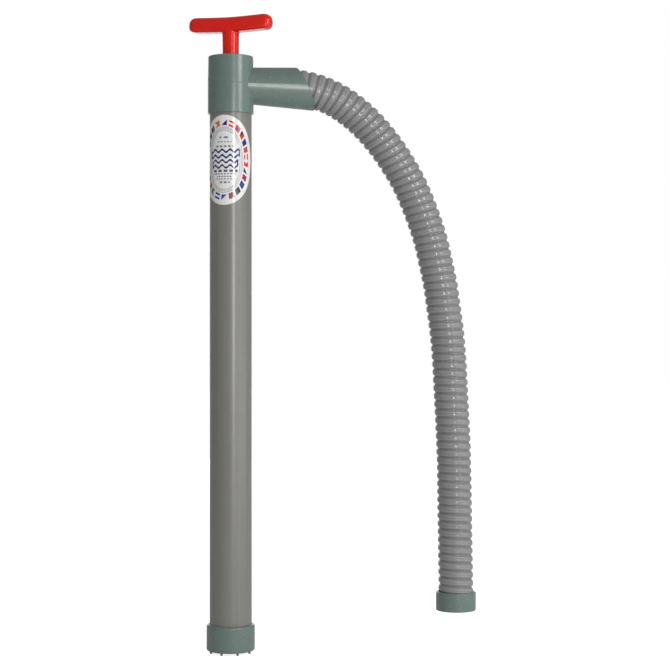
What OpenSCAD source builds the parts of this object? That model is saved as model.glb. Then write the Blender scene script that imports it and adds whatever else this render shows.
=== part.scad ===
// Hand bilge pump: a straight barrel with a valved foot, a tee head with a
// slanted spout, a T-handled lift plunger and a hanging discharge hose.
// Millimetres. +Z runs up the barrel, +X points along the spout. The origin is
// on the barrel's axis at the foot cap's bottom face, where the inlet opens.

/* [Barrel] */
// Outside diameter of the barrel pipe
barrel_od = 42.2; // [36:0.1:52]
// Wall of the barrel pipe
barrel_wall = 2.8; // [2:0.1:3.6]
// Length of the barrel pipe
barrel_len = 537.2; // [420:0.1:680]

/* [Foot] */
// How far the foot cap stands out around the barrel
foot_wall = 3.1; // [2.2:0.1:5]
// Height of the foot cap
foot_h = 26.5; // [21:0.1:34]
// Thickness of the foot cap's floor around the inlet
foot_floor = 3; // [2.4:0.1:4]
// Radius of the inlet in the foot cap's floor
inlet_r = 14; // [11:0.1:16.8]
// Height of the standing nubs under the foot cap
nub_h = 2.5; // [1.5:0.1:4]
// Radius of a standing nub
nub_r = 1.3; // [0.9:0.1:1.8]

/* [Foot valve] */
// Thickness of the inlet strainer
strainer_t = 1.5; // [1:0.1:2]
// Thickness of the gasket under the valve seat
seat_gasket_t = 1.5; // [1:0.1:2]
// Thickness of the valve seat
seat_t = 4; // [3.2:0.1:5]
// Radius of the post that guides the foot valve's disc
post_r = 3; // [2.5:0.1:3.6]
// Radius of a port through the valve seat
foot_port_r = 3; // [2.4:0.1:3.4]
// Thickness of the rubber valve discs
disc_t = 2; // [1.5:0.1:2.6]
// How far each valve disc lifts
disc_lift = 3; // [2:0.1:4]

/* [Head] */
// How far the head's body stands out around the barrel
head_wall = 1.9; // [1.6:0.1:4]
// How much narrower the head's body is at its top rim, on the radius
head_draft = 0.4; // [0:0.1:0.6]
// How deep the barrel goes into the head
head_socket = 11.5; // [9:0.1:14]
// Height from the barrel's top end up to the spout's bore
sill_h = 1.9; // [1:0.1:6]
// Height from the spout's bore up to the guide cap's gasket
lintel_h = 0.6; // [0.4:0.1:6]
// Height of the rod's guide cap in the head's top
cap_h = 10; // [8:0.1:14]
// Thickness of the gasket under the guide cap
cap_gasket_t = 1.5; // [1:0.1:1.8]

/* [Spout and hose] */
// Outside radius of the hose over its ribs
hose_r = 18.1; // [15:0.1:21.8]
// Wall of the hose, from its bore to the top of its ribs
hose_wall = 2.2; // [1.8:0.1:2.8]
// Spout wall outside the hose at the spout's root
spout_wall = 0.5; // [0.4:0.1:1.5]
// Half angle of the spout's outer cone
spout_flare = 2.9; // [2.6:0.1:4]
// How far the spout's outer cone droops below level, in degrees
spout_droop = 1; // [0.6:0.1:1.4]
// Distance from the barrel's axis to the spout's mouth, along its axis
spout_reach = 74.6; // [72:0.1:77]
// Slant of the spout's mouth from upright, in degrees
mouth_slant = 24; // [15:0.1:26]
// How far the cuff stands out around the hose
cuff_wall = 2.5; // [2:0.1:4]
// Height of the cuff on the hose's end
cuff_h = 19.5; // [16:0.1:26]
// Thickness of the cuff's lip under the hose's end
cuff_lip = 5; // [3:0.1:7]

/* [Plunger] */
// Outside radius of the plunger rod
rod_r = 7.95; // [6.8:0.01:9.6]
// Wall of the plunger rod
rod_wall = 1.75; // [1.4:0.05:2.1]
// Height of the groove that holds the piston's ring
ring_h = 8; // [6.6:0.1:9.6]
// Radial depth of the groove that holds the piston's ring
ring_depth = 3.3; // [2.8:0.1:4]
// Thickness of the piston's upper flange
flange_t = 3.5; // [3:0.1:4.4]
// Thickness of the plate under the piston's ring
plate_t = 3; // [2.4:0.1:4]
// Wall left on each side of a port through the piston
port_web = 1.3; // [1:0.1:1.6]
// Length of the rubber bumper above the piston
bumper_len = 30; // [25:0.1:36]

/* [T-handle] */
// Length of the handle's bar from tip to tip
bar_len = 89; // [74:1:107]
// Height of the handle's bar
bar_h = 15.2; // [13:0.1:18]
// Depth of the handle's bar from front to back
bar_w = 17; // [14:0.1:20]
// Height of the stem between the head and the bar
stem_h = 24; // [20:0.1:32]
// How much wider the stem is than the rod at its foot, on the radius
stem_step = 0.2; // [0.15:0.01:0.6]
// How much the stem widens towards the bar, on the radius
stem_taper = 0.5; // [0:0.1:1]
// How far the bar's ends sweep up, in degrees
bar_sweep = 2; // [0:0.1:5]
// Turn of the handle about the barrel's axis, in degrees
handle_turn = -32; // [-180:1:180]

/* [Label] */
// Width of the oval label, measured round the barrel
label_w = 62; // [40:1:64]
// Height of the oval label
label_h = 89; // [60:1:120]
// Direction that the label faces, in degrees from the spout
label_turn = -117.5; // [-180:0.5:180]

/* [Hidden] */
$fn = 96;

pvc_grey = [0.49, 0.50, 0.48];
teal_grey = [0.36, 0.45, 0.43];
hose_grey = [0.55, 0.55, 0.55];
handle_red = [0.80, 0.12, 0.08];
rubber_black = [0.12, 0.12, 0.12];
nylon_white = [0.88, 0.87, 0.82];
rod_grey = [0.72, 0.73, 0.72];
steel = [0.75, 0.76, 0.78];

glue_gap = 0.05;    // around a glued or pressed joint
run_gap = 0.05;     // around a sliding or turning joint
loose_gap = 0.3;    // around a piece that moves freely
rest_gap = 0.5;     // left under the handle when the plunger is down
eps = 0.1;          // overshoot of a cutting solid

// Radii that follow the barrel
barrel_r = barrel_od / 2;
bore_r = barrel_r - barrel_wall;
foot_r = barrel_r + foot_wall;
head_r = barrel_r + head_wall;
shoulder_round = min(2.5, foot_wall - 0.5);
base_round = 2;
socket_lead = 0.4;

// The foot's stack, from its floor up to the barrel's lower end
nub_count = 8;
nub_ring_r = foot_r - base_round - nub_r - 0.2;
nub_turn = 9.5;
strainer_z = foot_floor;
seat_gasket_z = strainer_z + strainer_t;
seat_z = seat_gasket_z + seat_gasket_t;
barrel_z = seat_z + seat_t;
barrel_top = barrel_z + barrel_len;
seat_gasket_w = 3;

// The foot valve above its seat
foot_ports = 6;
foot_port_ring = 9.6;
foot_disc_lap = 1.8;
foot_disc_r = foot_port_ring + foot_port_r + foot_disc_lap;
stop_t = 1.2;
foot_stop_r = 8;
post_top = barrel_z + disc_t + disc_lift + 0.1;
foot_screw_grip = 5.5;
foot_hole_depth = 6;
screw_r = 1.5;
screw_head_r = 3.2;
screw_head_h = 2;
foot_screw_top = post_top + stop_t + screw_head_h;

// The head, from the barrel's top end up to its own top face
hose_bore_r = hose_r - hose_wall;
head_z = barrel_top - head_socket;
spout_z = barrel_top + sill_h + hose_bore_r;
cap_gasket_z = spout_z + hose_bore_r + lintel_h;
cap_z = cap_gasket_z + cap_gasket_t;
head_top = cap_z + cap_h;
cap_ledge = 1.7;
cap_r = bore_r + cap_ledge;
wiper_w = 3.1;
gland_r = rod_r + wiper_w;
wiper_h = 3;
gland_ring_t = 1;
gland_depth = wiper_h + gland_ring_t;

// The spout
hose_gap = 0.2;
relief_x = 64;
relief_inset = 0.1;
relief_droop = 3.6;
relief_flare = 7;
spout_root_x = head_r;
spout_root_r = hose_r + spout_wall;
spout_cone_r = spout_root_r - spout_root_x * tan(spout_flare);
spout_cone_len = 110;
mouth_cut = 120;

// The plunger, from the piston's screw up to the handle
piston_rest_gap = 1.8;
screw_z = foot_screw_top + piston_rest_gap;
plate_z = screw_z + screw_head_h;
ring_z = plate_z + plate_t;
flange_z = ring_z + ring_h;
piston_top = flange_z + flange_t;
piston_gap = 0.7;
piston_r = bore_r - piston_gap;
groove_r = piston_r - ring_depth;
piston_ports = 6;
piston_port_ring = (rod_r + groove_r) / 2;
piston_port_r = (groove_r - rod_r) / 2 - port_web;
piston_stop_z = piston_top + disc_t + disc_lift;
piston_disc_lap = 1.4;
piston_disc_r = piston_port_ring + piston_port_r + piston_disc_lap;
piston_screw_grip = 10;
piston_hole_depth = 12;
piston_stop_t = 2.5;
piston_stop_w = 4;
piston_stop_r = rod_r + piston_stop_w;
bumper_z = piston_stop_z + piston_stop_t;
bumper_wall = 2.6;
bumper_r = rod_r + bumper_wall;
stem_z = head_top + rest_gap;
rod_bore_r = rod_r - rod_wall;
spigot_r = rod_bore_r - glue_gap;
spigot_len = 18;
pin_r = 1.5;
pin_drop = 9;

// The handle's bar
bar_z = stem_z + stem_h + bar_h / 2;
bar_crown = 6;
bar_edge = 2.6;

// The label
label_t = 0.25;
label_drop = 3;
label_z = head_z - label_drop - label_h / 2;
label_points = 48;

// The hose's line, in the plane through the barrel and the spout: distance from
// the barrel's axis, and height from the spout's axis. It starts at the end that
// sits inside the spout.
route = [
    [50, 0], [57, 0], [64, 0], [74, -1], [84, -3], [94, -6], [104, -10],
    [113.5, -15], [122.5, -20.8], [132, -28], [142, -37], [151.5, -47],
    [162.5, -60.5], [173, -75.5], [183, -92], [192, -110.5], [200.5, -131.5],
    [207.5, -152.5], [213, -175], [218, -198], [221.5, -221.5], [225, -247],
    [227.5, -274], [229, -301], [230.5, -328], [232, -357], [233, -387],
    [233.5, -418], [234, -449], [234.5, -481], [235, -513], [235, -528.5]];
hose_sides = 12;
hose_seat_x = route[0][0];
hose_end = route[len(route) - 1];
cuff_top_round = 1.8;
cuff_base_round = 1;

// ---------------------------------------------------------------- helpers

// A solid turned about Z with its top and bottom edges rounded.
module turned(r, h, top_round, bottom_round) {
    rotate_extrude() {
        translate([0, bottom_round]) square([r, h - top_round - bottom_round]);
        square([r - bottom_round, h / 2]);
        translate([0, h / 2]) square([r - top_round, h / 2]);
        intersection() {
            square([r, h]);
            union() {
                translate([r - bottom_round, bottom_round]) circle(bottom_round);
                translate([r - top_round, h - top_round]) circle(top_round);
            }
        }
    }
}

// A flat ring or a tube.
module ring(r_out, r_in, h) {
    difference() {
        cylinder(r = r_out, h = h);
        translate([0, 0, -eps]) cylinder(r = r_in, h = h + 2 * eps);
    }
}

// Copies of a child on a circle about Z.
module round_pattern(count, radius, turn = 0) {
    for (i = [0 : count - 1])
        rotate([0, 0, turn + i * 360 / count]) translate([radius, 0, 0]) children();
}

// A pan-head screw that points down from the origin, with a cross slot.
module screw(length) {
    difference() {
        union() {
            cylinder(r = screw_head_r, h = screw_head_h);
            translate([0, 0, -length]) cylinder(r = screw_r, h = length + eps);
        }
        for (a = [0, 90]) rotate([0, 0, a])
            translate([-screw_head_r * 0.6, -0.4, screw_head_h - 0.9])
                cube([screw_head_r * 1.2, 0.8, 2]);
    }
}

// A cross pin along Y, shorter than the rod is wide.
module cross_pin() {
    rotate([90, 0, 0]) cylinder(r = pin_r, h = 2 * (rod_r - 0.3), center = true);
}

// The drilled hole for a cross pin.
module pin_hole() {
    rotate([90, 0, 0]) cylinder(r = pin_r + glue_gap, h = 4 * rod_r, center = true);
}

// ------------------------------------------------------------------- foot

module foot_cap() {
    color(teal_grey) {
        difference() {
            turned(foot_r, foot_h, shoulder_round, base_round);
            translate([0, 0, foot_floor])
                cylinder(r = barrel_r + glue_gap, h = foot_h);
            translate([0, 0, -eps]) cylinder(r = inlet_r, h = foot_floor + 2 * eps);
        }
        round_pattern(nub_count, nub_ring_r, nub_turn)
            translate([0, 0, -nub_h]) cylinder(r1 = nub_r * 0.8, r2 = nub_r, h = nub_h + 0.5);
    }
}

module inlet_strainer() {
    hole_r = 1.5;
    pitch = 4.2;
    color(teal_grey) translate([0, 0, strainer_z]) difference() {
        cylinder(r = barrel_r, h = strainer_t);
        translate([0, 0, -eps]) cylinder(r = hole_r, h = strainer_t + 2 * eps);
        for (turn = [1 : floor((inlet_r - hole_r) / pitch)])
            round_pattern(6 * turn, pitch * turn)
                translate([0, 0, -eps]) cylinder(r = hole_r, h = strainer_t + 2 * eps);
    }
}

module seat_gasket() {
    color(rubber_black) translate([0, 0, seat_gasket_z])
        ring(barrel_r, barrel_r - seat_gasket_w, seat_gasket_t);
}

module foot_valve_seat() {
    color(nylon_white) difference() {
        union() {
            translate([0, 0, seat_z]) cylinder(r = barrel_r, h = seat_t);
            translate([0, 0, seat_z]) cylinder(r = post_r, h = post_top - seat_z);
        }
        round_pattern(foot_ports, foot_port_ring)
            translate([0, 0, seat_z - eps]) cylinder(r = foot_port_r, h = seat_t + 2 * eps);
        translate([0, 0, post_top - foot_hole_depth])
            cylinder(r = screw_r + glue_gap, h = foot_hole_depth + eps);
    }
}

module foot_valve_disc() {
    color(rubber_black) translate([0, 0, barrel_z])
        ring(foot_disc_r, post_r + loose_gap, disc_t);
}

module foot_valve_stop() {
    color(steel) translate([0, 0, post_top])
        ring(foot_stop_r, screw_r + glue_gap, stop_t);
}

module foot_valve_screw() {
    color(steel) translate([0, 0, post_top + stop_t]) screw(stop_t + foot_screw_grip);
}

// ----------------------------------------------------------------- barrel

module barrel() {
    color(pvc_grey) translate([0, 0, barrel_z]) ring(barrel_r, bore_r, barrel_len);
}

module label() {
    half = label_w / 2;
    color("white") translate([0, 0, label_z]) rotate([0, 0, label_turn]) intersection() {
        translate([0, 0, -label_h]) ring(barrel_r + label_t, barrel_r, 2 * label_h);
        rotate([90, 0, 90]) linear_extrude(barrel_od) polygon([
            for (i = [0 : label_points - 1])
                let (a = i * 360 / label_points, turn = half * cos(a) / barrel_r * 180 / PI)
                    [(barrel_r + 1) * sin(turn), label_h / 2 * sin(a)]]);
    }
}

// ------------------------------------------------------------------- head

module spout_shell() {
    translate([0, 0, spout_z]) difference() {
        rotate([0, 90 + spout_droop, 0])
            cylinder(r1 = spout_cone_r, r2 = spout_cone_r + spout_cone_len * tan(spout_flare),
                h = spout_cone_len);
        translate([spout_reach, 0, 0]) rotate([0, -mouth_slant, 0])
            translate([0, -mouth_cut / 2, -mouth_cut / 2]) cube(mouth_cut);
    }
}

module head() {
    relief_r = hose_r + hose_gap - relief_inset;
    color(teal_grey) difference() {
        union() {
            translate([0, 0, head_z]) cylinder(r = head_r, h = spout_z - head_z);
            translate([0, 0, spout_z])
                cylinder(r1 = head_r, r2 = head_r - head_draft, h = head_top - spout_z);
            spout_shell();
        }
        translate([0, 0, head_z - eps])
            cylinder(r = barrel_r + glue_gap, h = head_socket + eps);
        translate([0, 0, head_z - eps])
            cylinder(r1 = barrel_r + socket_lead + eps, r2 = barrel_r, h = socket_lead + eps);
        translate([0, 0, head_z]) cylinder(r = bore_r, h = cap_z - head_z);
        translate([0, 0, cap_gasket_z])
            cylinder(r = cap_r + glue_gap, h = head_top + eps - cap_gasket_z);
        translate([0, 0, spout_z]) rotate([0, 90, 0])
            cylinder(r = hose_bore_r, h = hose_seat_x + eps);
        translate([hose_seat_x, 0, spout_z]) rotate([0, 90, 0])
            cylinder(r = hose_r + hose_gap, h = spout_cone_len);
        translate([relief_x, 0, spout_z]) rotate([0, 90 + relief_droop, 0])
            cylinder(r1 = relief_r, r2 = relief_r + spout_cone_len * tan(relief_flare),
                h = spout_cone_len);
    }
}

module cap_gasket() {
    color(rubber_black) translate([0, 0, cap_gasket_z]) ring(cap_r, bore_r, cap_gasket_t);
}

module head_cap() {
    rim = 0.8;
    color(teal_grey) translate([0, 0, cap_z]) difference() {
        turned(cap_r, cap_h, rim, 0.2);
        translate([0, 0, -eps]) cylinder(r = rod_r + run_gap, h = cap_h + 2 * eps);
        translate([0, 0, cap_h - gland_depth]) cylinder(r = gland_r + glue_gap, h = cap_h);
    }
}

module rod_wiper() {
    color(rubber_black) translate([0, 0, head_top - gland_depth]) difference() {
        ring(gland_r, rod_r + run_gap, wiper_h);
        translate([0, 0, wiper_h - 1.4]) rotate_extrude()
            translate([(gland_r + rod_r) / 2, 0]) polygon([[0, 0], [0.8, 2], [-0.8, 2]]);
    }
}

module gland_ring() {
    color(steel) translate([0, 0, head_top - gland_ring_t])
        ring(gland_r, rod_r + 2 * run_gap, gland_ring_t);
}

// ---------------------------------------------------------------- plunger

module plunger_rod() {
    color(rod_grey) difference() {
        translate([0, 0, piston_top]) ring(rod_r, rod_bore_r, stem_z - piston_top);
        translate([0, 0, piston_top + pin_drop]) pin_hole();
        translate([0, 0, stem_z - pin_drop]) rotate([0, 0, handle_turn]) pin_hole();
    }
}

module piston_body() {
    color(nylon_white) difference() {
        union() {
            translate([0, 0, ring_z]) cylinder(r = groove_r, h = ring_h + eps);
            translate([0, 0, flange_z]) cylinder(r = piston_r, h = flange_t);
            translate([0, 0, piston_top]) cylinder(r = spigot_r, h = spigot_len);
        }
        round_pattern(piston_ports, piston_port_ring)
            translate([0, 0, ring_z - eps])
                cylinder(r = piston_port_r, h = piston_top - ring_z + 2 * eps);
        translate([0, 0, ring_z - eps]) cylinder(r = screw_r + glue_gap, h = piston_hole_depth);
        translate([0, 0, piston_top + pin_drop]) pin_hole();
    }
}

module piston_pin() {
    color(steel) translate([0, 0, piston_top + pin_drop]) cross_pin();
}

module piston_ring() {
    gap = 0.2;
    h = ring_h - 2 * gap;
    color(rubber_black) translate([0, 0, ring_z + gap]) difference() {
        ring(bore_r - run_gap, groove_r + loose_gap, h);
        translate([0, 0, h - 3.2]) rotate_extrude()
            translate([(bore_r + groove_r) / 2, 0]) polygon([[0, 0], [0.9, 4], [-0.9, 4]]);
    }
}

module piston_plate() {
    color(nylon_white) translate([0, 0, plate_z]) difference() {
        cylinder(r = piston_r, h = plate_t);
        translate([0, 0, -eps]) cylinder(r = screw_r + glue_gap, h = plate_t + 2 * eps);
        round_pattern(piston_ports, piston_port_ring)
            translate([0, 0, -eps]) cylinder(r = piston_port_r, h = plate_t + 2 * eps);
    }
}

module piston_screw() {
    color(steel) translate([0, 0, plate_z]) rotate([180, 0, 0]) screw(plate_t + piston_screw_grip);
}

module piston_valve_disc() {
    color(rubber_black) translate([0, 0, piston_top])
        ring(piston_disc_r, rod_r + loose_gap, disc_t);
}

module piston_valve_stop() {
    color(nylon_white) translate([0, 0, piston_stop_z])
        ring(piston_stop_r, rod_r + glue_gap, piston_stop_t);
}

module rod_bumper() {
    color(rubber_black) translate([0, 0, bumper_z])
        ring(bumper_r, rod_r + glue_gap, bumper_len);
}

module handle_pin() {
    color(steel) translate([0, 0, stem_z - pin_drop]) rotate([0, 0, handle_turn]) cross_pin();
}

// One half of the bar, from its middle out to a rounded tip.
module half_bar() {
    tip = bar_w / 2;
    hull() {
        for (x = [0, bar_len / 2 - tip]) translate([x, 0, 0]) {
            for (y = [-1, 1]) translate([0, y * (bar_w / 2 - bar_crown), bar_h / 2 - bar_crown])
                sphere(r = bar_crown, $fn = 32);
            for (y = [-1, 1]) translate([0, y * (bar_w / 2 - bar_edge), bar_edge - bar_h / 2])
                sphere(r = bar_edge, $fn = 24);
        }
        translate([bar_len / 2 - bar_crown, 0, bar_h / 2 - bar_crown])
            sphere(r = bar_crown, $fn = 32);
        translate([bar_len / 2 - bar_edge, 0, bar_edge - bar_h / 2])
            sphere(r = bar_edge, $fn = 24);
    }
}

module t_handle() {
    foot_stem_r = rod_r + stem_step;
    color(handle_red) rotate([0, 0, handle_turn]) {
        translate([0, 0, stem_z])
            cylinder(r1 = foot_stem_r, r2 = foot_stem_r + stem_taper, h = stem_h + bar_h / 2);
        translate([0, 0, bar_z]) for (side = [0, 180]) rotate([0, 0, side])
            rotate([0, -bar_sweep, 0]) half_bar();
        difference() {
            translate([0, 0, stem_z - spigot_len]) cylinder(r = spigot_r, h = spigot_len + eps);
            translate([0, 0, stem_z - pin_drop]) pin_hole();
        }
    }
}

// ------------------------------------------------------------------- hose

// The direction of the hose's line at point i, as [along X, along Z].
function heading(i) =
    let (last = len(route) - 1, d = route[min(i + 1, last)] - route[max(i - 1, 0)])
        (i == 0 ? [1, 0] : i == last ? [0, -1] : d / norm(d));

// One ring of points around the hose's line at point i.
function hose_ring(i, r) =
    let (d = heading(i))
        [for (k = [0 : hose_sides - 1])
            let (a = k * 360 / hose_sides, side = r * sin(a), up = r * cos(a))
                [route[i][0] - up * d[1], side, spout_z + route[i][1] + up * d[0]]];

// A closed tube: out along its outside, then back along its bore.
module discharge_hose() {
    last = len(route) - 1;
    rings = concat([for (i = [0 : last]) hose_ring(i, hose_r)],
        [for (i = [last : -1 : 0]) hose_ring(i, hose_bore_r)]);
    count = len(rings);
    color(hose_grey) polyhedron(
        points = [for (one = rings) each one],
        faces = [for (i = [0 : count - 1], k = [0 : hose_sides - 1])
            let (a = i * hose_sides, b = ((i + 1) % count) * hose_sides, n = (k + 1) % hose_sides)
                [a + k, b + k, b + n, a + n]]);
}

module hose_cuff() {
    cuff_r = hose_r + cuff_wall;
    color(teal_grey) translate([hose_end[0], 0, spout_z + hose_end[1] - cuff_lip]) difference() {
        turned(cuff_r, cuff_h, cuff_top_round, cuff_base_round);
        translate([0, 0, cuff_lip]) cylinder(r = hose_r + hose_gap, h = cuff_h);
        translate([0, 0, -eps]) cylinder(r = hose_bore_r, h = cuff_lip + 2 * eps);
    }
}

barrel();
head();
head_cap();
cap_gasket();
rod_wiper();
gland_ring();
foot_cap();
inlet_strainer();
seat_gasket();
foot_valve_seat();
foot_valve_disc();
foot_valve_stop();
foot_valve_screw();
label();
plunger_rod();
t_handle();
handle_pin();
piston_body();
piston_pin();
piston_ring();
piston_plate();
piston_screw();
piston_valve_disc();
piston_valve_stop();
rod_bumper();
discharge_hose();
hose_cuff();
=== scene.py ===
# %% [markdown]
# # A hand bilge pump
#
# This lesson builds the looks of a hand bilge pump round its finished CAD frame: a grey pipe barrel, a
# teal moulded tee head and foot cap, a red T-handle, an oval label and a corrugated discharge hose that
# hangs from the spout. The frame holds every size and every joint. Each piece here is modelled on top of
# it in metres, in the same place, so nothing has to be fitted afterwards.

# %% Load the frame
import math

import bmesh
import bpy
from mathutils import Matrix, Vector


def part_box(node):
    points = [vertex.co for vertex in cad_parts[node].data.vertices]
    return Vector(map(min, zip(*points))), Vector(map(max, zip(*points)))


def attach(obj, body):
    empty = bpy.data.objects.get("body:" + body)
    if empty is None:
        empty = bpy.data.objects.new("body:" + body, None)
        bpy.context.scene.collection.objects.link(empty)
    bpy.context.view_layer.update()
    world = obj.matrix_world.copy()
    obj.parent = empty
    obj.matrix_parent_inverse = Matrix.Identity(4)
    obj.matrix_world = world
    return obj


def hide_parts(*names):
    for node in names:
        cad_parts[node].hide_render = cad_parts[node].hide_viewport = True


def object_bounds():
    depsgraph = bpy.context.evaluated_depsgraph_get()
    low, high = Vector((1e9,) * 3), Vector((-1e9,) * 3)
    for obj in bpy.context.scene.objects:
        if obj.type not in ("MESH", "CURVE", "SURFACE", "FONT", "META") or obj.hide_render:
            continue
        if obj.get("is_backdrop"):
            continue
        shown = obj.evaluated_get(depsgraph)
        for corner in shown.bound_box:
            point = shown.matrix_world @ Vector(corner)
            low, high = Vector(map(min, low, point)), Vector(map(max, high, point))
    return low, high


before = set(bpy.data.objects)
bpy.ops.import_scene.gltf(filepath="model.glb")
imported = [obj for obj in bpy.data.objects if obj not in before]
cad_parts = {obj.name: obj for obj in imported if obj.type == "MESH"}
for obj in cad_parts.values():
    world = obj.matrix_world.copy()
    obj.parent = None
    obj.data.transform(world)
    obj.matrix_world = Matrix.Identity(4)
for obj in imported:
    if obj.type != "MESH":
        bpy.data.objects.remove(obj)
cad_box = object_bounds()

# %% [markdown]
# The sizes come from the CAD nodes' boxes. A turned piece's radius is half its width, and the spout's
# height is found from the hose, whose first stretch lies level inside the spout.

# %% Read the driving sizes
MM = 0.001


def width(node):
    low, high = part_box(node)
    return high.y - low.y


def bottom(node):
    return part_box(node)[0].z


def top(node):
    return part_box(node)[1].z


barrel_r = width("barrel") / 2
foot_r = width("foot_cap") / 2
head_r = width("head") / 2
hose_r = width("discharge_hose") / 2
cuff_r = width("hose_cuff") / 2
rod_r = width("plunger_rod") / 2
cap_r = width("head_cap") / 2
spout_z = top("discharge_hose") - hose_r
hose_bore_r = 15.9 * MM
glue_gap = 0.05 * MM
print(f"barrel {barrel_r * 2000:.1f} mm, hose {hose_r * 2000:.1f} mm, spout at {spout_z:.4f} m")

# %% [markdown]
# The camera stands about 1.7 m away, turned 13 degrees to the left of the spout's broadside and level
# with the barrel's middle, with a long lens. A long lens from far off keeps the barrel's sides parallel.

# %% Set up the camera
LENS = 91.3
CAMERA_AWAY = 1.7
CAMERA_TURN = math.radians(-13)
CAMERA_HEIGHT = 0.315
BARREL_LEFT_OF_CENTRE = 0.1043

back = Vector((math.sin(CAMERA_TURN), -math.cos(CAMERA_TURN), 0))
right = Vector((math.cos(CAMERA_TURN), math.sin(CAMERA_TURN), 0))
camera_data = bpy.data.cameras.new("camera")
camera_data.lens = LENS
camera_data.clip_end = 30
camera = bpy.data.objects.new("camera", camera_data)
bpy.context.scene.collection.objects.link(camera)
camera.location = back * CAMERA_AWAY + right * BARREL_LEFT_OF_CENTRE + Vector((0, 0, CAMERA_HEIGHT))
camera.rotation_euler = (math.radians(90), 0, CAMERA_TURN)
bpy.context.scene.camera = camera
print("camera at", [round(x, 3) for x in camera.location])

# %% [markdown]
# ## Working by hand, in code
#
# Most pieces are modelled as at the screen: add a primitive, pick some faces or edges, and run an
# operator on them. In a script the picking is done by place, so these helpers take a test that says
# which face or edge is meant. An operator acts on everything selected, so the first step is always to
# deselect.
#
# Smooth shading has a catch: beside a bevel it tilts the normals of the long face next to it, and a
# highlight then lands in the wrong place. Weighting the normals by face area keeps the long faces true.


# %% Selecting and editing
def only(piece):
    """Make one object the only one selected, and active."""
    bpy.ops.object.select_all(action="DESELECT")
    piece.select_set(True)
    bpy.context.view_layer.objects.active = piece


def named(name):
    """Name the object that an operator has just added."""
    piece = bpy.context.object
    piece.name = name
    piece.data.name = name
    return piece


def pick_faces(piece, test):
    """In edit mode, select the faces whose centre and normal pass the test."""
    bpy.ops.mesh.select_mode(type="FACE")
    bpy.ops.mesh.select_all(action="DESELECT")
    mesh = bmesh.from_edit_mesh(piece.data)
    for face in mesh.faces:
        face.select_set(test(face.calc_center_median(), face.normal))
    bmesh.update_edit_mesh(piece.data)


def pick_edges(piece, test):
    """In edit mode, select the edges whose two ends pass the test."""
    bpy.ops.mesh.select_mode(type="EDGE")
    bpy.ops.mesh.select_all(action="DESELECT")
    mesh = bmesh.from_edit_mesh(piece.data)
    for edge in mesh.edges:
        edge.select_set(test(*(v.co for v in edge.verts)))
    bmesh.update_edit_mesh(piece.data)


def extrude(z):
    bpy.ops.mesh.extrude_region_move(TRANSFORM_OT_translate={"value": (0, 0, z)})


def edit(piece):
    only(piece)
    bpy.ops.object.mode_set(mode="EDIT")


def done():
    bpy.ops.object.mode_set(mode="OBJECT")


def apply(piece, kind, **settings):
    """Add a modifier, set it and apply it."""
    only(piece)
    modifier = piece.modifiers.new(kind.lower(), kind)
    for key, value in settings.items():
        setattr(modifier, key, value)
    bpy.ops.object.modifier_apply(modifier=modifier.name)


def place(piece):
    """Move an object's place, turn and scale into its mesh."""
    only(piece)
    bpy.ops.object.transform_apply(location=True, rotation=True, scale=True)


def smooth(piece, angle):
    """Smooth shading below the angle, with the large faces keeping their own direction."""
    only(piece)
    bpy.ops.object.shade_smooth_by_angle(angle=math.radians(angle))
    apply(piece, "WEIGHTED_NORMAL", mode="FACE_AREA", weight=50, keep_sharp=True)


def outwards(piece):
    """Merge doubles and point every face outwards."""
    edit(piece)
    bpy.ops.mesh.select_all(action="SELECT")
    bpy.ops.mesh.remove_doubles(threshold=0.002 * MM)
    bpy.ops.mesh.normals_make_consistent(inside=False)
    done()


def at_ring(z, radius, centre=(0, 0), slack=0.02 * MM):
    """A test for edges that lie on a level circle."""
    def test(a, b):
        return all(abs(p.z - z) < slack and
                   abs(math.hypot(p.x - centre[0], p.y - centre[1]) - radius) < slack for p in (a, b))
    return test


def bevel_ring(piece, z, radius, offset, centre=(0, 0), segments=4):
    pick_edges(piece, at_ring(z, radius, centre))
    bpy.ops.mesh.bevel(offset=offset, segments=segments, affect="EDGES", clamp_overlap=True)


def ready(piece, body, slot, *nodes):
    """Hand a finished piece over: what it moves with and what it stands for. The slot, which names its finish,
    is not used.
    """
    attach(piece, body)
    if nodes:
        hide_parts(*nodes)
    print(f"{piece.name}: {len(piece.data.polygons)} faces on {body}")


# %% [markdown]
# ## Finishes
#
# Injection-moulded and extruded plastics are never quite flat: they have a fine orange-peel skin, cloudy
# changes in gloss where the melt flowed, and scuffs from handling. Three node groups carry those effects,
# and each material places them with its own values. The Principled shader stays in the material.
# Thick walls also sink a little as they cool. A broad, shallow ripple does that, and breaks the highlights.


# %% Node group helper
def new_group(name, inputs, outputs):
    """A shader node group with named sockets; returns the tree, its input node and its output node."""
    tree = bpy.data.node_groups.new(name, "ShaderNodeTree")
    for label, kind, value in inputs:
        socket = tree.interface.new_socket(name=label, in_out="INPUT", socket_type=kind)
        if value is not None:
            socket.default_value = value
    for label, kind in outputs:
        tree.interface.new_socket(name=label, in_out="OUTPUT", socket_type=kind)
    return tree, tree.nodes.new("NodeGroupInput"), tree.nodes.new("NodeGroupOutput")


FLOAT, COLOR, VECTOR = "NodeSocketFloat", "NodeSocketColor", "NodeSocketVector"


def feed(tree, socket, value):
    """Set an input socket to a number or a colour, or link another socket to it."""
    if isinstance(value, (int, float)):
        socket.default_value = value
    elif isinstance(value, (tuple, list)):
        socket.default_value = (*value, 1.0)
    else:
        tree.links.new(value, socket)


def maths(tree, operation, *values, clamp=False):
    """A Math node whose inputs are numbers or sockets; returns its output."""
    node = tree.nodes.new("ShaderNodeMath")
    node.operation = operation
    node.use_clamp = clamp
    for i, value in enumerate(values):
        feed(tree, node.inputs[i], value)
    return node.outputs[0]


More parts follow.
